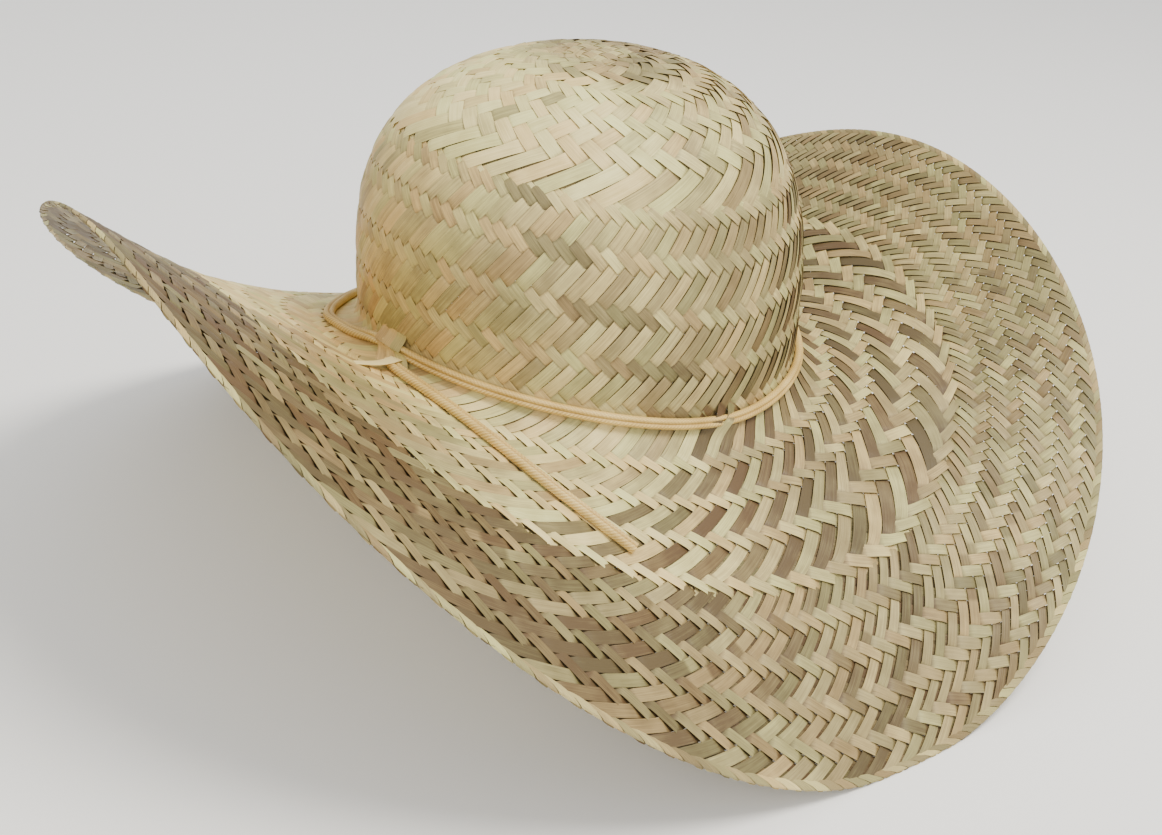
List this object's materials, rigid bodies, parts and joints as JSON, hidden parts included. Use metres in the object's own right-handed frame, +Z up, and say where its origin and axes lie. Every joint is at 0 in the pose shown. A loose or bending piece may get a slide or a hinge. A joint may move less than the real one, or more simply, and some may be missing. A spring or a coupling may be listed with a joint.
{
  "type": "straw cowboy hat",
  "caption": "Woven palm straw hat with a plain round crown, a broad saddle-shaped brim turned up front and back, and a loose braided cord with one free end.",
  "frame": {"origin": "on the surface that the hat rests on, under the middle of the box round crown, brim and crown cord", "axes": "+Z up, -Y to the front of the hat, +X to the wearer's left"},
  "size_m": [0.4152, 0.4074, 0.2062],
  "materials": {
    "palm_straw": "matte woven palm straw",
    "golden_braid": "satin braided straw cord"
  },
  "bodies": {
    "root": {"crown": "palm_straw", "brim": "palm_straw", "crown_cord": "golden_braid", "cord_free_end": "golden_braid"}
  },
  "joints": []
}
